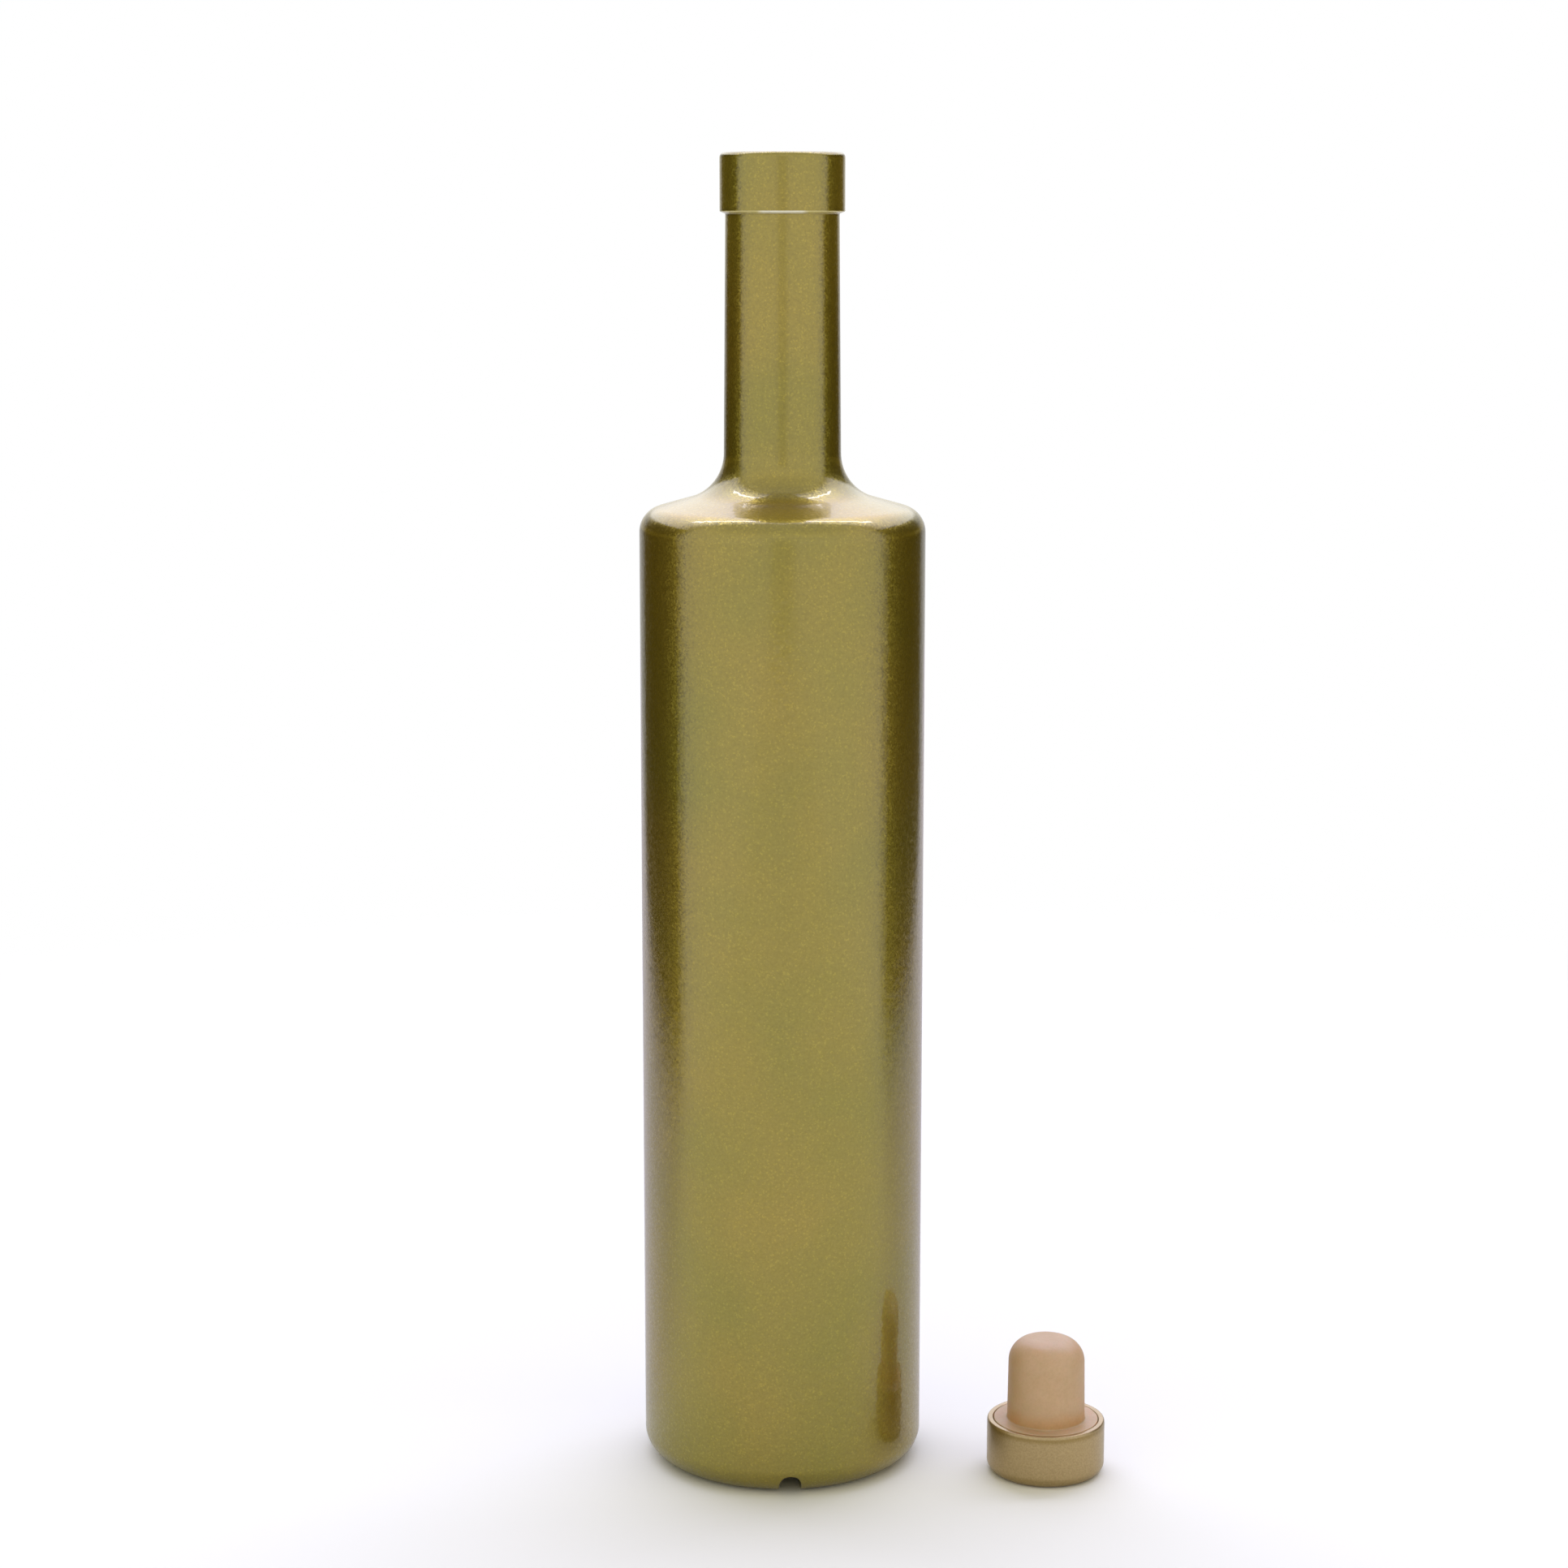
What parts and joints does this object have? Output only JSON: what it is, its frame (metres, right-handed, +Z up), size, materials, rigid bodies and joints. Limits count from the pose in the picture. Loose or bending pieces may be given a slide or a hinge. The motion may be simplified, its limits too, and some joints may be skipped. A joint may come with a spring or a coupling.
{
  "type": "corked glass bottle",
  "caption": "Slim straight-sided spirits bottle in opaque gold lacquered glass, open and empty, with its bar-top cork stopper standing upside down beside it.",
  "frame": {"origin": "on the floor, at the middle of the footprint of bottle and stopper together", "axes": "+Z up along the bottle, +X to the right, where the stopper stands, -Y towards the front with the base notch"},
  "size_m": [0.1176, 0.071, 0.3313],
  "materials": {
    "gold_lacquer": "opaque metallic gold lacquer on glass, fine flake, glossy clear coat",
    "head_gold": "satin metallic gold lacquer on a moulded cup",
    "cork_beige": "smooth beige synthetic cork, satin to matt"
  },
  "bodies": {
    "root": {"bottle": "gold_lacquer", "stopper_head": "head_gold", "stopper_cork": "cork_beige"}
  },
  "joints": []
}
